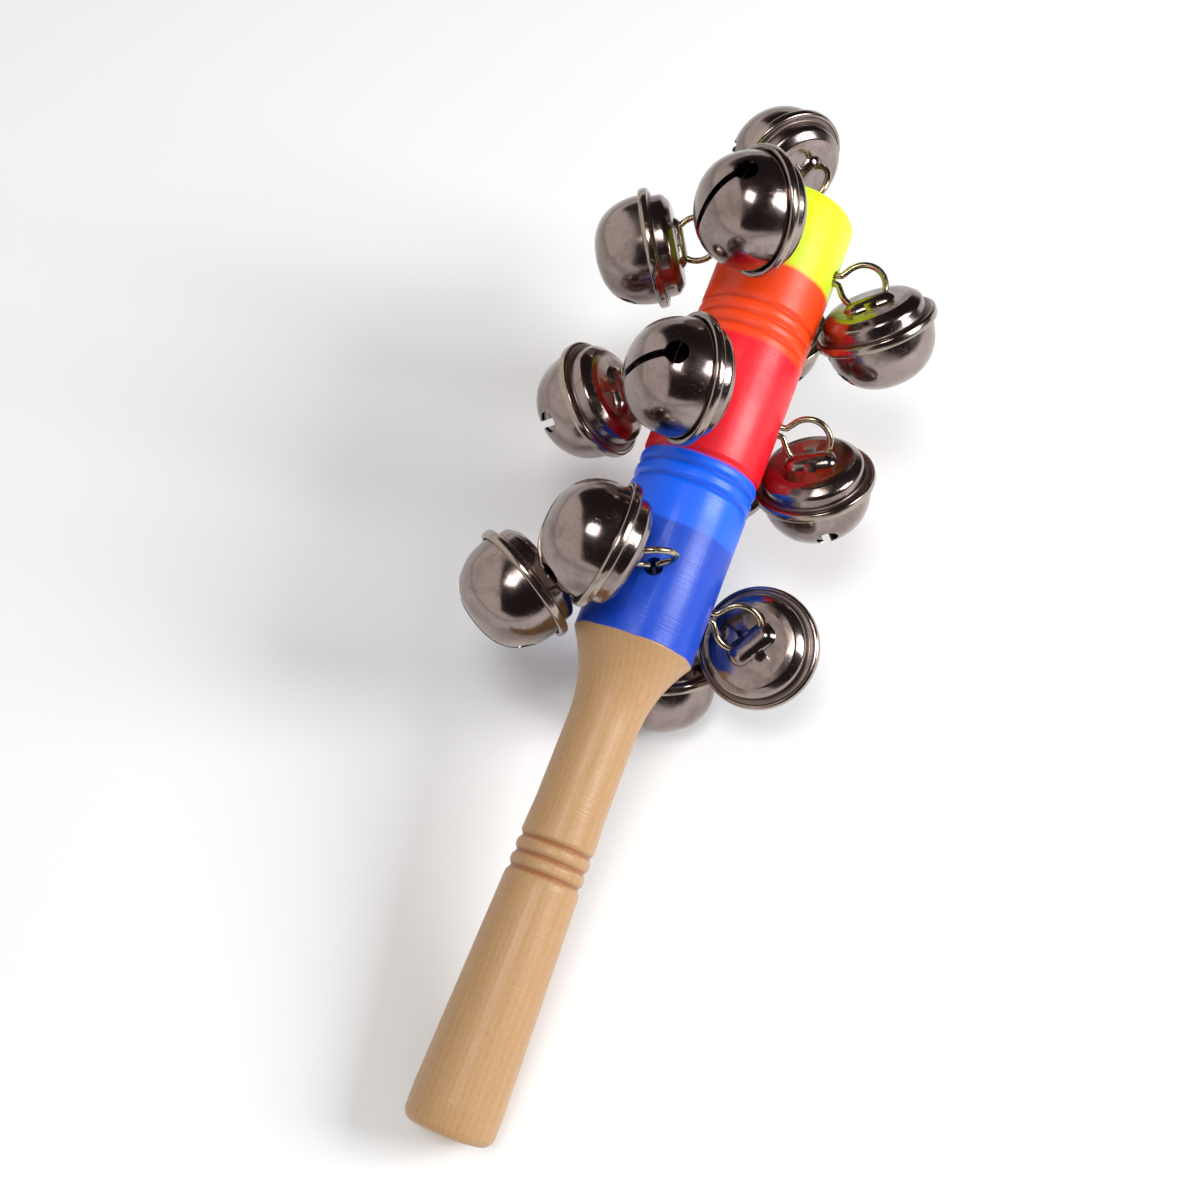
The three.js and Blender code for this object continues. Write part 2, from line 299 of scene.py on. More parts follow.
def bevel_edges(obj, wanted, width, segments=2, sharp=None):
    """Bevel the edges whose two ends wanted accepts, of all or of the sharp ones."""
    pick(obj)
    bpy.ops.object.mode_set(mode="EDIT")
    bpy.ops.mesh.select_mode(type="EDGE")
    bpy.ops.mesh.select_all(action="DESELECT")
    if sharp is not None:
        bpy.ops.mesh.edges_select_sharp(sharpness=sharp)
    bpy.ops.object.mode_set(mode="OBJECT")
    vertices = obj.data.vertices
    for edge in obj.data.edges:
        if edge.select or sharp is None:
            edge.select = wanted(*(vertices[index].co for index in edge.vertices))
    bpy.ops.object.mode_set(mode="EDIT")
    bpy.ops.mesh.bevel(
        offset=width, segments=segments, affect="EDGES", clamp_overlap=sharp is not None)
    bpy.ops.object.mode_set(mode="OBJECT")


def soften(obj, wanted, width, sharp):
    """Round the edges of obj that bend by more than sharp and lie where wanted says."""
    bevel_edges(obj, lambda first, second: wanted((first + second) / 2), width, sharp=sharp)


def smooth(obj, angle=35):
    """Smooth shading, with edges sharper than angle kept."""
    pick(obj)
    bpy.ops.object.shade_smooth_by_angle(angle=math.radians(angle))


def keep_place(obj):
    """Store each vertex's own place on the piece, in millimetres, for its pattern."""
    attribute = obj.data.attributes.new("own_place", "FLOAT_VECTOR", "POINT")
    for vertex, slot in zip(obj.data.vertices, attribute.data):
        slot.vector = vertex.co / MM


def settle(obj, matrix):
    """Turn and move obj by matrix, with the place kept in its mesh."""
    pick(obj)
    obj.matrix_world = matrix
    bpy.ops.object.transform_apply(location=True, rotation=True, scale=True)


def copied(master, name):
    """A copy of master with its own mesh."""
    twin = master.copy()
    twin.data = master.data.copy()
    twin.name = twin.data.name = name
    bpy.context.collection.objects.link(twin)
    return twin


def remove(obj):
    """Delete a finished pattern piece."""
    mesh = obj.data
    bpy.data.objects.remove(obj)
    bpy.data.meshes.remove(mesh)


def attach(obj, body, node, finish):
    """Finish a piece: its material, the body it rides on and the node it stands for."""
    obj.data.materials.clear()
    obj.data.materials.append(finish)
    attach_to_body(obj, body)
    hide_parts(node)


# ---- where things are -----------------------------------------------------
def basis(side, ahead, up, place):
    """A placing matrix from three directions and a point."""
    return Matrix.Translation(place) @ Matrix((side, ahead, up)).transposed().to_4x4()


def stick_place():
    """The stick's own frame: Z runs from the butt to the head."""
    up = -Vector(BUTT["axis"]).normalized()
    side = Vector((1, 0, 0))
    return basis(side, up.cross(side), up, Vector(BUTT["pos_m"]))


def face_sums(node, place):
    """Area-weighted centre of a CAD node, and its faces as (area, centre), seen from place."""
    mesh = frame["nodes"][node].data
    faces = [(face.area, place @ face.center) for face in mesh.polygons]
    total = sum(area for area, _ in faces)
    return sum((centre * area for area, centre in faces), Vector()) / total, faces


def bell_place(bell):
    """A bell's own frame: the wire is at its origin along Y, and Z points to the slot."""
    hinge = JOINTS[f"{bell}_swing"]
    pivot = Vector(hinge["pos_m"])
    ahead = Vector(hinge["axis"]).normalized()
    centre, _ = face_sums(f"{bell}_lower_shell", Matrix())
    out = centre - pivot
    out = (out - ahead * out.dot(ahead)).normalized()
    return basis(ahead.cross(out), ahead, out, pivot)


def slot_turn(bell, place):
    """How far the slot is turned about the bell's axis: it runs where the shell has least metal."""
    _, faces = face_sums(f"{bell}_lower_shell", place.inverted())
    across = sum(area * (centre.x**2 - centre.y**2) for area, centre in faces)
    slanted = sum(area * 2 * centre.x * centre.y for area, centre in faces)
    return math.atan2(slanted, across) / 2 + math.pi / 2


def eye_place(bell):
    """An eye's own frame: the legs go in at its origin, Z points out of the wood, Y across."""
    stick = stick_place()
    up = stick.to_3x3().col[2].copy()
    centre, _ = face_sums(f"{bell}_loop_pin", stick.inverted())
    out = Vector((centre.x, centre.y, 0))
    if out.length < 0.5 * bpy.context.scene.stick_sizes.head_radius:
        out, foot = up, stick @ Vector((0, 0, STICK_LENGTH * MM))
    else:
        out = out.normalized()
        foot = stick @ (out * bpy.context.scene.stick_sizes.head_radius
                        + Vector((0, 0, centre.z)))
        out = stick.to_3x3() @ out
    ahead = Vector(JOINTS[f"{bell}_swing"]["axis"])
    ahead = (ahead - out * ahead.dot(out)).normalized()
    return basis(ahead.cross(out), ahead, out, foot)


# ---- shared shader groups -------------------------------------------------
def add(tree, kind, inputs=None, **settings):
    """Add a node, with its inputs given as values or as sockets to link from."""
    node = tree.nodes.new("ShaderNode" + kind)
    for key, value in settings.items():
        setattr(node, key, value)
    for key, value in (inputs or {}).items():
        if isinstance(value, bpy.types.NodeSocket):
            tree.links.new(value, node.inputs[key])
        else:
            node.inputs[key].default_value = value
    return node


def mixed(tree, share, first, second, blend="MIX"):
    """A mix of two colours."""
    node = add(tree, "Mix", {0: share, 6: first, 7: second}, data_type="RGBA", blend_type=blend)
    return node.outputs[2]


def maths(tree, operation, first, second=0.0, clamp=False):
    """One sum on two values."""
    node = add(tree, "Math", {0: first, 1: second}, operation=operation, use_clamp=clamp)
    return node.outputs[0]


def spread(tree, value, low, high, to_low=0.0, to_high=1.0):
    """A value's range mapped to another, clamped and eased."""
    node = add(
        tree, "MapRange",
        {"Value": value, "From Min": low, "From Max": high, "To Min": to_low, "To Max": to_high},
        interpolation_type="SMOOTHSTEP",
    )
    return node.outputs["Result"]


def new_group(name, takes, gives):
    """An empty node group with named sockets, its input values and its output sockets."""
    group = bpy.data.node_groups.new(name, "ShaderNodeTree")
    for socket, kind, default in takes:
        made = group.interface.new_socket(socket, in_out="INPUT", socket_type=kind)
        if default is not None:
            made.default_value = default
    for socket, kind in gives:
        group.interface.new_socket(socket, in_out="OUTPUT", socket_type=kind)
    source = group.nodes.new("NodeGroupInput").outputs
    sink = group.nodes.new("NodeGroupOutput").inputs
    return group, source, sink


def fine_scratches_group():
    """Thin random scuffs, for every hard surface."""
    name = "fine_scratches"
    if name in bpy.data.node_groups:
        return bpy.data.node_groups[name]
    group, source, sink = new_group(
        name,
        [("Vector", "NodeSocketVector", None), ("Scale", "NodeSocketFloat", 1.0),
         ("Amount", "NodeSocketFloat", 0.5)],
        [("Height", "NodeSocketFloat"), ("Mask", "NodeSocketFloat")],
    )
    scaled = add(group, "VectorMath", {0: source["Vector"], "Scale": source["Scale"]},
                 operation="SCALE").outputs[0]
    marks = []
    for turn, squeeze in (((0.3, 0.9, 0.2), (9, 0.35, 2)), ((1.2, 0.2, 1.9), (0.5, 8, 1.4))):
        mapped = add(group, "Mapping", {"Vector": scaled, "Rotation": turn, "Scale": squeeze})
        noise = add(group, "TexNoise", {"Vector": mapped.outputs[0], "Scale": 1.0, "Detail": 2.0})
        marks.append(spread(group, noise.outputs[0], 0.62, 0.74))
    both = maths(group, "MAXIMUM", marks[0], marks[1])
    patch = add(group, "TexNoise", {"Vector": scaled, "Scale": 0.35, "Detail": 2.0})
    kept = maths(group, "MULTIPLY", both, spread(group, patch.outputs[0], 0.42, 0.62))
    mask = maths(group, "MULTIPLY", kept, source["Amount"])
    group.links.new(mask, sink["Mask"])
    group.links.new(maths(group, "MULTIPLY", mask, -1.0), sink["Height"])
    return group


def dulling_group():
    """Clouds of tarnish or handling over a clean colour, with a roughness to match."""
    name = "dulling"
    if name in bpy.data.node_groups:
        return bpy.data.node_groups[name]
    group, source, sink = new_group(
        name,
        [("Vector", "NodeSocketVector", None), ("Scale", "NodeSocketFloat", 1.0),
         ("Clean", "NodeSocketColor", (1, 1, 1, 1)), ("Dull", "NodeSocketColor", (0, 0, 0, 1)),
         ("Amount", "NodeSocketFloat", 0.5), ("Smooth", "NodeSocketFloat", 0.1),
         ("Rough", "NodeSocketFloat", 0.3)],
        [("Color", "NodeSocketColor"), ("Roughness", "NodeSocketFloat"),
         ("Mask", "NodeSocketFloat")],
    )
    scaled = add(group, "VectorMath", {0: source["Vector"], "Scale": source["Scale"]},
                 operation="SCALE").outputs[0]
    clouds = add(group, "TexNoise", {"Vector": scaled, "Scale": 1.0, "Detail": 5.0,
                                     "Roughness": 0.6, "Distortion": 0.4})
    specks = add(group, "TexNoise", {"Vector": scaled, "Scale": 9.0, "Detail": 3.0})
    cloud = spread(group, clouds.outputs[0], 0.40, 0.72)
    speck = spread(group, specks.outputs[0], 0.56, 0.70)
    both = maths(group, "ADD", cloud, maths(group, "MULTIPLY", speck, 0.45), clamp=True)
    mask = maths(group, "MULTIPLY", both, source["Amount"], clamp=True)
    group.links.new(mixed(group, mask, source["Clean"], source["Dull"]), sink["Color"])
    rise = maths(group, "SUBTRACT", source["Rough"], source["Smooth"])
    rough = maths(group, "ADD", source["Smooth"], maths(group, "MULTIPLY", rise, mask))
    group.links.new(rough, sink["Roughness"])
    group.links.new(mask, sink["Mask"])
    return group


def use_group(tree, group, inputs):
    """Place a shared group in a material."""
    return add(tree, "Group", inputs, node_tree=group)


def new_material(name):
    """An empty material, with its Principled shader."""
    finish = bpy.data.materials.new(name)
    finish.use_nodes = True
    return finish, finish.node_tree, finish.node_tree.nodes["Principled BSDF"]


def own_place(tree):
    """The vertex places that keep_place stored, in millimetres."""
    return add(tree, "Attribute", attribute_name="own_place").outputs["Vector"]


def object_place(tree):
    """Places in the row frame, in metres."""
    return add(tree, "TexCoord").outputs["Object"]


def bump(tree, height, distance, strength=1.0, below=None):
    """A bump from a height of 0 to 1 over distance, on top of the one below."""
    inputs = {"Height": height, "Distance": distance, "Strength": strength}
    if below is not None:
        inputs["Normal"] = below
    return add(tree, "Bump", inputs).outputs[0]


# ---- materials ------------------------------------------------------------
def nickel_material():
    """Dark nickel plate: near mirror, softly uneven, with spinning lines, dulled patches and
    painted shade in the cove above the rim.
    """
    name = "dark_nickel"
    if name in bpy.data.materials:
        return bpy.data.materials[name]
    colours = bpy.context.scene.finishes
    finish, tree, shader = new_material(name)
    place = object_place(tree)
    own = own_place(tree)
    dulled = use_group(tree, dulling_group(), {
        "Vector": place, "Scale": 210.0, "Clean": colours.steel, "Dull": colours.steel_dull,
        "Amount": 0.65, "Smooth": 0.14, "Rough": 0.30,
    })
    axes = add(tree, "SeparateXYZ", {0: own}).outputs
    flat = add(tree, "CombineXYZ", {0: axes[0], 1: axes[1]}).outputs[0]
    radius = add(tree, "VectorMath", {0: flat}, operation="LENGTH").outputs["Value"]
    rim = spread(tree, radius, 11.9, 12.35)
    worn = mixed(tree, maths(tree, "MULTIPLY", rim, 0.4), dulled.outputs["Color"],
                 (0.46, 0.40, 0.31, 1))
    # Painted shade: the cove between the upper wall and the rolled rim is darkened towards
    # near-black brown, and made a little rougher.
    cove = maths(tree, "MULTIPLY", spread(tree, radius, 10.2, 10.7),
                 spread(tree, radius, 11.6, 11.2))
    height = maths(tree, "MULTIPLY", spread(tree, axes[2], 2.6, 3.4),
                   spread(tree, axes[2], 4.2, 4.0))
    cove_shade_mask = maths(tree, "MULTIPLY", cove, height)
    cove_shaded = mixed(tree, maths(tree, "MULTIPLY", cove_shade_mask, 0.55), worn, (0.10, 0.075, 0.06, 1))
    tree.links.new(cove_shaded, shader.inputs["Base Color"])
    rough = maths(tree, "ADD", dulled.outputs["Roughness"], maths(tree, "MULTIPLY", cove_shade_mask, 0.25))
    scuffs = use_group(tree, fine_scratches_group(), {
        "Vector": own, "Scale": 0.55, "Amount": 0.8,
    })
    rough = maths(tree, "ADD", rough, maths(tree, "MULTIPLY", scuffs.outputs["Mask"], 0.16))
    tree.links.new(rough, shader.inputs["Roughness"])
    waves = add(tree, "TexNoise", {"Vector": place, "Scale": 170.0, "Detail": 1.0})
    uneven = bump(tree, waves.outputs[0], 0.16 * MM)
    lines = add(tree, "TexNoise", {"W": maths(tree, "ADD", radius, axes[2]), "Scale": 9.0,
                                   "Detail": 2.0}, noise_dimensions="1D")
    spun = bump(tree, lines.outputs[0], 0.004 * MM, below=uneven)
    scuffed = bump(tree, scuffs.outputs["Height"], 0.006 * MM, below=spun)
    tree.links.new(scuffed, shader.inputs["Normal"])
    shader.inputs["Metallic"].default_value = 1.0
    return finish


def wire_material():
    """Drawn wire, brassy and a little dulled, with lines along it."""
    name = "drawn_wire"
    if name in bpy.data.materials:
        return bpy.data.materials[name]
    colours = bpy.context.scene.finishes
    finish, tree, shader = new_material(name)
    own = own_place(tree)
    dulled = use_group(tree, dulling_group(), {
        "Vector": own, "Scale": 0.7, "Clean": colours.wire, "Dull": colours.wire_dull,
        "Amount": 0.8, "Smooth": 0.16, "Rough": 0.38,
    })
    tree.links.new(dulled.outputs["Color"], shader.inputs["Base Color"])
    scuffs = use_group(tree, fine_scratches_group(), {
        "Vector": own, "Scale": 1.6, "Amount": 1.0,
    })
    rough = maths(tree, "ADD", dulled.outputs["Roughness"],
                  maths(tree, "MULTIPLY", scuffs.outputs["Mask"], 0.2))
    tree.links.new(rough, shader.inputs["Roughness"])
    tree.links.new(bump(tree, scuffs.outputs["Height"], 0.02 * MM), shader.inputs["Normal"])
    shader.inputs["Metallic"].default_value = 1.0
    return finish


def shot_material():
    """Tumbled steel ball."""
    name = "steel_shot"
    if name in bpy.data.materials:
        return bpy.data.materials[name]
    colours = bpy.context.scene.finishes
    finish, tree, shader = new_material(name)
    own = own_place(tree)
    dulled = use_group(tree, dulling_group(), {
        "Vector": own, "Scale": 0.8, "Clean": colours.shot, "Dull": (0.12, 0.10, 0.09, 1),
        "Amount": 0.9, "Smooth": 0.24, "Rough": 0.5,
    })
    tree.links.new(dulled.outputs["Color"], shader.inputs["Base Color"])
    tree.links.new(dulled.outputs["Roughness"], shader.inputs["Roughness"])
    scuffs = use_group(tree, fine_scratches_group(), {
        "Vector": own, "Scale": 1.1, "Amount": 1.0,
    })
    tree.links.new(bump(tree, scuffs.outputs["Height"], 0.02 * MM), shader.inputs["Normal"])
    shader.inputs["Metallic"].default_value = 1.0
    return finish


def along_ramp(tree, along, stops):
    """A colour for each place along the stick, from (distance, colour) stops."""
    share = maths(tree, "DIVIDE", along, STICK_LENGTH)
    node = add(tree, "ValToRGB", {0: share})
    ramp = node.color_ramp.elements
    ramp.remove(ramp[1])
    ramp[0].position = stops[0][0] / STICK_LENGTH
    ramp[0].color = stops[0][1]
    for distance, shade in stops[1:]:
        ramp.new(distance / STICK_LENGTH).color = shade
    return node.outputs["Color"]


def stick_material():
    """Clear varnish on the handle and gloss paint in bands on the head."""
    name = "painted_stick"
    if name in bpy.data.materials:
        return bpy.data.materials[name]
    colours = bpy.context.scene.finishes
    finish, tree, shader = new_material(name)
    own = own_place(tree)
    axes = add(tree, "SeparateXYZ", {0: own}).outputs
    wobble = add(tree, "TexNoise", {"Vector": own, "Scale": 0.11, "Detail": 3.0}).outputs[0]
    shift = maths(tree, "MULTIPLY", maths(tree, "SUBTRACT", wobble, 0.5), 1.1)
    along = maths(tree, "ADD", axes[2], shift)

    # Bare wood: long streaks, short flecks and slow changes of tone.
    streaky = add(tree, "Mapping", {"Vector": own, "Scale": (1.3, 1.3, 0.045)}).outputs[0]
    streaks = add(tree, "TexNoise", {"Vector": streaky, "Scale": 1.0, "Detail": 6.0,
                                     "Roughness": 0.65, "Distortion": 0.6}).outputs[0]
    flecky = add(tree, "Mapping", {"Vector": own, "Scale": (5.5, 5.5, 0.9)}).outputs[0]
    flecks = add(tree, "TexNoise", {"Vector": flecky, "Scale": 1.0, "Detail": 3.0}).outputs[0]
    rings = add(tree, "Mapping", {"Vector": own, "Location": (14, 5, 0),
                                  "Scale": (1, 1, 0.03)}).outputs[0]
    growth = add(tree, "TexWave", {"Vector": rings, "Scale": 0.28, "Distortion": 3.2,
                                   "Detail": 3.0, "Detail Scale": 0.6},
                 wave_type="RINGS", rings_direction="Z").outputs[1]
    tone = maths(tree, "MULTIPLY", spread(tree, streaks, 0.3, 0.75), 0.22)
    tone = maths(tree, "ADD", tone, maths(tree, "MULTIPLY", growth, 0.14))
    tone = maths(tree, "ADD", tone, maths(tree, "MULTIPLY", spread(tree, flecks, 0.5, 0.75), 0.4),
                 clamp=True)
    wood = mixed(tree, tone, colours.wood, colours.wood_dark)

    # Burnt grooves of the handle, and the dirt that lies in them.
    burn = 0.0
    for groove in GRIP_GROOVES:
        near = maths(tree, "ABSOLUTE", maths(tree, "SUBTRACT", axes[2], groove))
        burn = maths(tree, "MAXIMUM", burn, spread(tree, near, 0.75, 0.15))
    wood = mixed(tree, maths(tree, "MULTIPLY", burn, 0.8), wood, colours.groove)

    # Paint: five bands with slightly wandering edges, and painted shade along the head grooves.
    band_colours = (colours.dark_blue, colours.light_blue, colours.red, colours.orange,
                    colours.yellow)
    edge = 0.12
    stops = [(0, band_colours[0])]
    for place, before, after in zip(BAND_EDGES, band_colours, band_colours[1:]):
        stops += [(place - edge, before), (place + edge, after)]
    paint = along_ramp(tree, along, stops)
    clouds = add(tree, "TexNoise", {"Vector": own, "Scale": 0.16, "Detail": 4.0}).outputs[0]
    deeper = mixed(tree, spread(tree, clouds, 0.35, 0.7, 0.0, 0.22), paint,
                   (0.55, 0.50, 0.60, 1), "MULTIPLY")
    # Painted shade: the paint is darkened along each turned groove of the head, where shade falls
    # in it.
    groove_shade_mask = 0.0
    for groove in HEAD_GROOVES:
        near = maths(tree, "ABSOLUTE", maths(tree, "SUBTRACT", axes[2], groove))
        groove_shade_mask = maths(tree, "MAXIMUM", groove_shade_mask, spread(tree, near, 0.7, 0.1))
    deeper = mixed(tree, maths(tree, "MULTIPLY", groove_shade_mask, 0.5), deeper, (0.45, 0.32, 0.38, 1),
                   "MULTIPLY")
    painted = spread(tree, along, PAINT_START - 0.12, PAINT_START + 0.12)
    tree.links.new(mixed(tree, painted, wood, deeper), shader.inputs["Base Color"])

    # Turning lines round the stick, grain and paint thickness.
    turned = add(tree, "TexNoise", {"W": axes[2], "Scale": 2.6, "Detail": 3.0},
                 noise_dimensions="1D").outputs[0]
    rounds = bump(tree, turned, 0.03 * MM)
    pores = bump(tree, streaks, 0.03 * MM, below=rounds)
    skin = bump(tree, clouds, 0.09 * MM, below=pores)
    step = bump(tree, painted, 0.06 * MM, below=skin)
    scuffs = use_group(tree, fine_scratches_group(), {
        "Vector": own, "Scale": 0.35, "Amount": 0.7,
    })
    scuffed = bump(tree, scuffs.outputs["Height"], 0.01 * MM, below=step)
    tree.links.new(scuffed, shader.inputs["Normal"])
    tree.links.new(scuffed, shader.inputs["Coat Normal"])
    rough = maths(tree, "ADD", spread(tree, clouds, 0.3, 0.7, 0.36, 0.46),
                  maths(tree, "MULTIPLY", scuffs.outputs["Mask"], 0.15))
    tree.links.new(rough, shader.inputs["Roughness"])
    shader.inputs["Coat Weight"].default_value = 0.12
    shader.inputs["Coat Roughness"].default_value = 0.24
    shader.inputs["Specular IOR Level"].default_value = 0.4
    return finish


# ---- operators ------------------------------------------------------------
class SLEIGHBELLS_OT_stage(bpy.types.Operator):
    """Camera, pale floor, soft window lights and the room round them"""

    bl_idname = "sleighbells.stage"
    bl_label = "Stage"

    def execute(self, context):
        studio = context.scene.studio
        stand = Vector(BUTT["pos_m"]) + CAMERA_FROM_BUTT
        deselect()
        bpy.ops.object.camera_add()
        camera = context.object
        camera.name = "camera"
        camera.matrix_world = basis(CAMERA_RIGHT, CAMERA_UP, CAMERA_BACK, stand)
        camera.data.lens = studio.lens
        camera.data.sensor_width = 36
        camera.data.clip_start = 0.01
        context.scene.camera = camera
        context.scene.view_settings.view_transform = "Standard"

        deselect()
        bpy.ops.mesh.primitive_plane_add(size=6.0)
        floor = context.object
        floor.name = "studio_floor"
        finish, tree, shader = new_material("floor_paper")
        mottle = add(tree, "TexNoise", {"Vector": object_place(tree), "Scale": 3.0})
        tree.links.new(
            mixed(tree, mottle.outputs[0], context.scene.finishes.floor, (0.9, 0.9, 0.9, 1)),
            shader.inputs["Base Color"],
        )
        shader.inputs["Roughness"].default_value = 0.8
        floor.data.materials.append(finish)

        centre = (CAD_BOX[0] + CAD_BOX[1]) / 2
        right, up, back = CAMERA_RIGHT, CAMERA_UP, CAMERA_BACK
        self.panel(context, "window_light", centre, back + 0.30 * up - 0.12 * right, 0.95,
                   (0.26, 0.26), studio.window_power, (1.0, 0.985, 0.97))
        self.panel(context, "side_light", centre, 0.55 * back + 0.8 * right + 0.15 * up, 0.9,
                   (0.35, 0.45), studio.side_power, (0.97, 0.98, 1.0))
        self.room(context, studio.room_light)
        return {"FINISHED"}

    def panel(self, context, name, centre, way, distance, size, power, shade):
        """A soft rectangular light that looks at the centre."""
        deselect()
        bpy.ops.object.light_add(type="AREA")
        light = context.object
        light.name = name
        light.location = centre + way.normalized() * distance
        light.rotation_euler = way.to_track_quat("Z", "Y").to_euler()
        light.data.shape = "RECTANGLE"
        light.data.size, light.data.size_y = size
        light.data.energy = power
        light.data.color = shade

    def room(self, context, strength):
        """A dim room, darker overhead, that the metal mirrors."""
        world = bpy.data.worlds.new("room")
        context.scene.world = world
        world.use_nodes = True
        tree = world.node_tree
        background = tree.nodes["Background"]
        way = add(tree, "TexCoord").outputs["Generated"]
        rise = add(tree, "VectorMath", {0: way, 1: (0.21, 0.085, 1.0)},
                   operation="DOT_PRODUCT").outputs["Value"]
        leftward = add(tree, "VectorMath", {0: way, 1: -CAMERA_RIGHT},
                       operation="DOT_PRODUCT").outputs["Value"]
        wall = maths(tree, "MAXIMUM", spread(tree, rise, 0.16, 0.08),
                     spread(tree, leftward, 0.40, 0.47))
        mirrored = mixed(tree, wall, (0.035, 0.026, 0.028, 1), (0.98, 0.93, 0.91, 1))
        rays = add(tree, "LightPath").outputs
        sight = maths(tree, "MAXIMUM", rays["Is Camera Ray"], rays["Is Diffuse Ray"])
        shown = mixed(tree, sight, mirrored, (0.92, 0.92, 0.92, 1))
        tree.links.new(shown, background.inputs["Color"])
        lit = maths(tree, "MULTIPLY", rays["Is Diffuse Ray"], strength - 1.0)
        tree.links.new(maths(tree, "ADD", lit, 1.0), background.inputs["Strength"])


class SLEIGHBELLS_OT_stick(bpy.types.Operator):
    """Turned wooden stick, drilled for the wire eyes"""

    bl_idname = "sleighbells.stick"
    bl_label = "Stick"

    def execute(self, context):
        sizes = context.scene.stick_sizes
        stick = lathed("stick_wood", eased(self.profile(sizes)), LATHE_STEPS)
        place = stick_place()
        for bell in BELLS:
            combine(stick, self.drill(context, place.inverted() @ eye_place(bell)), "DIFFERENCE")
        soften(stick, lambda point: self.on_hole(sizes, point), 0.12 * MM, math.radians(50))
        keep_place(stick)
        smooth(stick, 40)
        settle(stick, place)
        attach(stick, "stick", "stick", stick_material())
        return {"FINISHED"}

    def profile(self, sizes):
        """Corners (radius, distance from the butt, rounding) from axis to axis."""
        flare = []
        for step in range(1, 13):
            share = step / 13
            swell = (sizes.head_radius - sizes.neck_radius) * share**2.2
            flare.append((sizes.neck_radius + swell,
                          (NECK_END + (HEAD_START - NECK_END) * share) * MM, 0))
        end = STICK_LENGTH * MM
        handle_radius = sizes.grip_radius - 0.1 * MM
        return [
            (0, 0, 0),
            (sizes.butt_radius * 0.5, 0, 0),
            (sizes.butt_radius - 0.1 * MM, 0, sizes.butt_round * 0.8),
            (sizes.butt_radius, 6 * MM, 3 * MM),
            (sizes.butt_radius * 0.94, 22 * MM, 0),
            (sizes.grip_radius, GRIP_END * MM, 0.5 * MM),
            *self.grooves(GRIP_GROOVES, handle_radius, sizes.grip_groove),
            (sizes.neck_radius + 0.05 * MM, NECK_START * MM, 0),
            (sizes.neck_radius, NECK_END * MM, 0),
            *flare,
            (sizes.head_radius, HEAD_START * MM, 0.5 * MM),
            (sizes.head_radius, 110 * MM, 0),
            *self.grooves(HEAD_GROOVES, sizes.head_radius, sizes.head_groove),
            (sizes.head_radius, 180 * MM, 0),
            (sizes.head_radius, end, sizes.head_round),
            (sizes.head_radius * 0.4, end, 0),
            (0, end, 0),
        ]

    def grooves(self, centres, radius, depth):
        """Soft turned grooves."""
        corners = []
        for centre in centres:
            corners += [
                (radius, (centre - GROOVE_HALF) * MM, 0.45 * MM),
                (radius - depth, centre * MM, 0.3 * MM),
                (radius, (centre + GROOVE_HALF) * MM, 0.45 * MM),
            ]
        return corners

    def drill(self, context, place):
        """A drill standing where one eye's legs go in."""
        wire = context.scene.wire_sizes
        deselect()
        bpy.ops.mesh.primitive_cylinder_add(
            vertices=24, radius=wire.leg_half_gap + wire.wire_radius + 0.3 * MM,
            depth=wire.leg_depth + 1.3 * MM, location=(0, 0, 0),
        )
        tool = context.object
        down = Matrix.Translation((0, 0, 0.35 * MM - wire.leg_depth / 2))
        settle(tool, place @ down)
        return tool

    def on_hole(self, sizes, point):
        """True for the mouth of a drilled hole."""
        radius = math.hypot(point.x, point.y)
        beside = radius > sizes.head_radius - 0.5 * MM and point.z > (HEAD_START + 5) * MM
        ahead = point.z > (STICK_LENGTH - 0.1) * MM and radius < 3 * MM
        return beside or ahead


class SLEIGHBELLS_OT_eyes(bpy.types.Operator):
    """Wire eyes, one for each bell"""

    bl_idname = "sleighbells.eyes"
    bl_label = "Wire eyes"

    def execute(self, context):
        sizes = context.scene.wire_sizes
        master = traced("eye_pattern", self.path(sizes))
        bpy.ops.object.mode_set(mode="OBJECT")
        pick(master)
        bpy.ops.object.convert(target="CURVE")
        curve = context.object
        curve.data.bevel_depth = sizes.wire_radius
        curve.data.bevel_resolution = 4
        curve.data.use_fill_caps = True
        bpy.ops.object.convert(target="MESH")
        master = context.object
        keep_place(master)
        smooth(master, 50)
        for bell in BELLS:
            eye = copied(master, f"{bell}_eye")
            settle(eye, eye_place(bell))
            attach(eye, "stick", f"{bell}_loop_pin", wire_material())
        remove(master)
        return {"FINISHED"}

    def path(self, sizes):
        """Up one leg, round the eye and down the other leg."""
        half = [
            Vector((0, -sizes.leg_half_gap, -sizes.leg_depth)),
            Vector((0, -sizes.leg_half_gap, -0.5 * sizes.leg_depth)),
            Vector((0, -sizes.leg_half_gap, -0.4 * MM)),
            Vector((0, -sizes.leg_half_gap * 1.03, 0.5 * MM)),
            Vector((0, -sizes.leg_half_gap * 1.25, 1.15 * MM)),
        ]
        opening = math.radians(148)
        steps = 22
        for step in range(steps):
            turn = opening * (1 - step / steps)
            half.append(Vector((0, -sizes.eye_radius * math.sin(turn),
                                sizes.eye_centre + sizes.eye_radius * math.cos(turn))))
        other = [Vector((0, -point.y, point.z)) for point in reversed(half)]
        top = Vector((0, 0, sizes.eye_centre + sizes.eye_radius))
        return [*half, top, *other]


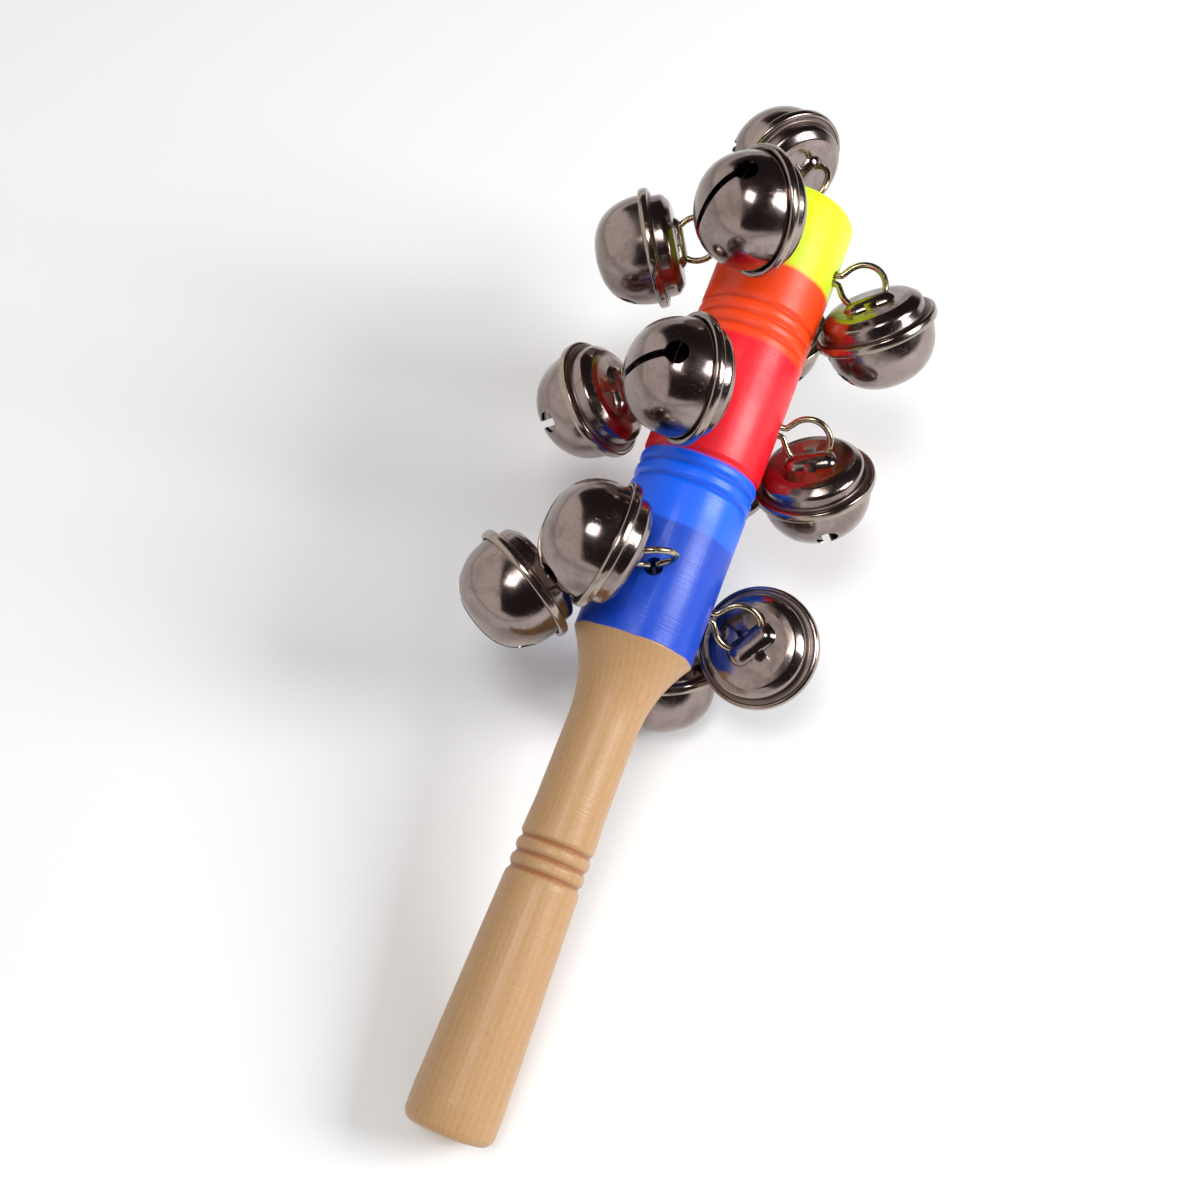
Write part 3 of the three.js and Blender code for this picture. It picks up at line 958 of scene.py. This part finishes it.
class SLEIGHBELLS_OT_upper_shells(bpy.types.Operator):
    """Upper shells, each with its rolled rim, two openings and strap"""

    bl_idname = "sleighbells.upper_shells"
    bl_label = "Upper shells"

    def execute(self, context):
        sizes = context.scene.bell_sizes
        master = lathed("upper_pattern", eased(self.profile(sizes)), LATHE_STEPS)
        combine(master, self.opening(context), "DIFFERENCE")
        soften(master, lambda point: point.z < 0.3 * MM and point.xy.length < 6.2 * MM,
               0.16 * MM, math.radians(50))
        combine(master, self.strap(), "UNION")
        keep_place(master)
        smooth(master, 38)
        for bell in BELLS:
            shell = copied(master, f"{bell}_upper")
            settle(shell, bell_place(bell))
            attach(shell, bell, f"{bell}_upper_shell", nickel_material())
        remove(master)
        return {"FINISHED"}

    def profile(self, sizes):
        """Corners (radius, height, rounding) of the sheet, outside first."""
        rim = sizes.rim_radius
        drop = sizes.rim_drop
        wall = sizes.upper_radius
        sheet = sizes.sheet
        lip = sizes.lower_radius + 0.3 * MM
        return [
            (0, -sheet, 0),
            (4.0 * MM, -sheet, 0),
            (7.2 * MM, -sheet, 0.8 * MM),
            (8.7 * MM, -0.35 * MM, 1.2 * MM),
            (wall - 0.1 * MM, 1.0 * MM, 1.5 * MM),
            (wall, drop - 1.0 * MM, 0.45 * MM),
            (rim - 1.0 * MM, drop - 0.85 * MM, 0.3 * MM),
            (rim - 0.75 * MM, drop - 1.1 * MM, 0.15 * MM),
            (rim - 0.1 * MM, drop - 0.95 * MM, 0.45 * MM),
            (rim, drop, 0.5 * MM),
            (rim - 0.1 * MM, drop + 0.9 * MM, 0.45 * MM),
            (lip, drop + 0.9 * MM, 0.15 * MM),
            (lip, drop + 0.5 * MM, 0),
            (rim - 0.35 * MM, drop + 0.5 * MM, 0),
            (rim - 0.35 * MM, drop - 0.5 * MM, 0),
            (wall - sheet, drop - 0.5 * MM, 0.3 * MM),
            (wall - sheet, 1.3 * MM, 1.2 * MM),
            (8.3 * MM, 0.15 * MM, 0.8 * MM),
            (6.8 * MM, 0, 0),
            (0, 0, 0),
        ]

    def opening(self, context):
        """The tool that cuts the cap under the strap, a block rounded on all its edges."""
        deselect()
        bpy.ops.mesh.primitive_cube_add(size=1)
        tool = context.object
        bpy.ops.object.mode_set(mode="EDIT")
        bpy.ops.transform.resize(value=(5.8 * MM, 11.2 * MM, 4 * MM))
        bevel_edges(tool, lambda first, second: True, 2.6 * MM, 8)
        return tool

    def strap(self):
        """The raised strip of sheet that the wire passes under."""
        rise = [(5.0, -0.28), (4.2, -0.32), (3.4, -0.52), (2.7, -0.9), (2.1, -1.13),
                (1.2, -1.22), (0.0, -1.25)]
        side = [Vector((x * MM, -1.2 * MM, z * MM)) for x, z in rise]
        other = [Vector((-point.x, point.y, point.z)) for point in reversed(side[:-1])]
        strap = traced("strap", [*side, *other])
        bpy.ops.mesh.select_all(action="SELECT")
        bpy.ops.mesh.extrude_region_move(TRANSFORM_OT_translate={"value": (0, 2.4 * MM, 0)})
        bpy.ops.mesh.select_all(action="SELECT")
        bpy.ops.mesh.normals_make_consistent(inside=False)
        bpy.ops.object.mode_set(mode="OBJECT")
        apply_modifier(strap, "SOLIDIFY", thickness=0.5 * MM, offset=0)
        apply_modifier(strap, "BEVEL", width=0.14 * MM, segments=2, limit_method="ANGLE",
                       angle_limit=math.radians(50))
        return strap


class SLEIGHBELLS_OT_lower_shells(bpy.types.Operator):
    """Lower shells, each with its slot and the two round holes that end it"""

    bl_idname = "sleighbells.lower_shells"
    bl_label = "Lower shells"

    def execute(self, context):
        sizes = context.scene.bell_sizes
        master = lathed("lower_pattern", self.profile(sizes), LATHE_STEPS)
        for tool in self.slot(context, sizes):
            combine(master, tool, "DIFFERENCE")
        soften(master, lambda point: point.z > sizes.rim_drop + 3 * MM, 0.17 * MM,
               math.radians(40))
        keep_place(master)
        smooth(master, 38)
        for bell in BELLS:
            place = bell_place(bell)
            shell = copied(master, f"{bell}_lower")
            settle(shell, place @ Matrix.Rotation(slot_turn(bell, place), 4, "Z"))
            attach(shell, bell, f"{bell}_lower_shell", nickel_material())
        remove(master)
        return {"FINISHED"}

    def profile(self, sizes):
        """(radius, height) points of the sheet: inside of the bowl, flange, outside."""
        drop = sizes.rim_drop
        inner = self.bowl(sizes.lower_radius - sizes.sheet, sizes.lower_depth - sizes.sheet, 16)
        outer = self.bowl(sizes.lower_radius, sizes.lower_depth, 30)
        flange = [
            (sizes.lower_radius - sizes.sheet, -0.2 * MM),
            (sizes.lower_radius + 0.45 * MM, -0.2 * MM),
            (sizes.lower_radius + 0.55 * MM, -0.1 * MM),
            (sizes.lower_radius + 0.55 * MM, 0.1 * MM),
            (sizes.lower_radius + 0.45 * MM, 0.2 * MM),
            (sizes.lower_radius + 0.12 * MM, 0.22 * MM),
            (sizes.lower_radius + 0.02 * MM, 0.34 * MM),
        ]
        points = [*reversed(inner), *flange, *outer]
        return [(radius, drop + depth) for radius, depth in points]

    def bowl(self, radius, depth, steps):
        """A squarish bowl from near the rim to the axis."""
        power = 2 / BOWL_SQUARENESS
        points = []
        for step in range(1, steps + 1):
            turn = 0.25 * TURN * step / steps
            points.append((radius * max(math.cos(turn), 0.0) ** power,
                           depth * math.sin(turn) ** power))
        points[-1] = (0.0, depth)
        return [point for point in points if point[1] > 0.6 * MM]

    def slot(self, context, sizes):
        """The saw cut and its two end holes."""
        tilt = SLOT_HOLE_TILT
        reach = sizes.lower_depth * 0.93
        tools = []
        deselect()
        bpy.ops.mesh.primitive_cube_add(size=1)
        saw = context.object
        bpy.ops.object.mode_set(mode="EDIT")
        bpy.ops.transform.resize(value=(2 * reach * math.sin(tilt), sizes.slot_width, 12 * MM))
        bpy.ops.transform.translate(
            value=(0, 0, sizes.rim_drop + reach * math.cos(tilt) + 6 * MM))
        bpy.ops.object.mode_set(mode="OBJECT")
        tools.append(saw)
        for side in (-1, 1):
            deselect()
            bpy.ops.mesh.primitive_cylinder_add(vertices=32, radius=sizes.hole_radius,
                                                depth=10 * MM)
            punch = context.object
            lift = Matrix.Translation((0, 0, 12 * MM))
            turn = Matrix.Rotation(side * tilt, 4, "Y")
            settle(punch, Matrix.Translation((0, 0, sizes.rim_drop)) @ turn @ lift)
            tools.append(punch)
        return tools


class SLEIGHBELLS_OT_shot(bpy.types.Operator):
    """Loose steel balls, one in each bell"""

    bl_idname = "sleighbells.shot"
    bl_label = "Steel shot"

    def execute(self, context):
        deselect()
        bpy.ops.mesh.primitive_uv_sphere_add(
            segments=32, ring_count=16, radius=context.scene.bell_sizes.shot_radius)
        master = context.object
        master.name = master.data.name = "shot_pattern"
        near_waist = 0.01 * MM
        bevel_edges(
            master, lambda first, second: max(abs(first.z), abs(second.z)) < near_waist, 0.3 * MM)
        bpy.ops.object.mode_set(mode="EDIT")
        bpy.ops.transform.resize(value=(1.02, 1.02, 1.0))
        bpy.ops.object.mode_set(mode="OBJECT")
        keep_place(master)
        smooth(master, 60)
        for bell in BELLS:
            low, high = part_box(f"{bell}_pellet")
            ball = copied(master, f"{bell}_shot")
            settle(ball, Matrix.Translation((low + high) / 2))
            attach(ball, f"{bell}_pellet", f"{bell}_pellet", shot_material())
        remove(master)
        return {"FINISHED"}


class SLEIGHBELLS_PT_panel(bpy.types.Panel):
    """The pieces, in the order in which they are built"""

    bl_idname = "SLEIGHBELLS_PT_panel"
    bl_label = "Sleigh Bells"
    bl_space_type = "VIEW_3D"
    bl_region_type = "UI"
    bl_category = "Sleigh Bells"

    def draw(self, context):
        for step in STEPS:
            self.layout.operator(step.bl_idname)
        for group in GROUPS:
            settings = getattr(context.scene, group)
            box = self.layout.box()
            for name in settings.__annotations__:
                box.prop(settings, name)


GROUPS = {
    "stick_sizes": StickSizes,
    "bell_sizes": BellSizes,
    "wire_sizes": WireSizes,
    "finishes": Finishes,
    "studio": StudioSizes,
}
STEPS = (
    SLEIGHBELLS_OT_stage,
    SLEIGHBELLS_OT_stick,
    SLEIGHBELLS_OT_eyes,
    SLEIGHBELLS_OT_upper_shells,
    SLEIGHBELLS_OT_lower_shells,
    SLEIGHBELLS_OT_shot,
)


def register():
    """Register the classes and give the scene its settings."""
    for kind in (*GROUPS.values(), *STEPS, SLEIGHBELLS_PT_panel):
        bpy.utils.register_class(kind)
    for name, kind in GROUPS.items():
        setattr(bpy.types.Scene, name, bpy.props.PointerProperty(type=kind))


def unregister():
    """Take the settings and classes away again."""
    for name in GROUPS:
        delattr(bpy.types.Scene, name)
    for kind in reversed((*GROUPS.values(), *STEPS, SLEIGHBELLS_PT_panel)):
        bpy.utils.unregister_class(kind)


def main():
    """Build everything in order."""
    register()
    bpy.ops.sleighbells.stage()
    bpy.ops.sleighbells.stick()
    bpy.ops.sleighbells.eyes()
    bpy.ops.sleighbells.upper_shells()
    bpy.ops.sleighbells.lower_shells()
    bpy.ops.sleighbells.shot()


if __name__ == "__main__":
    main()
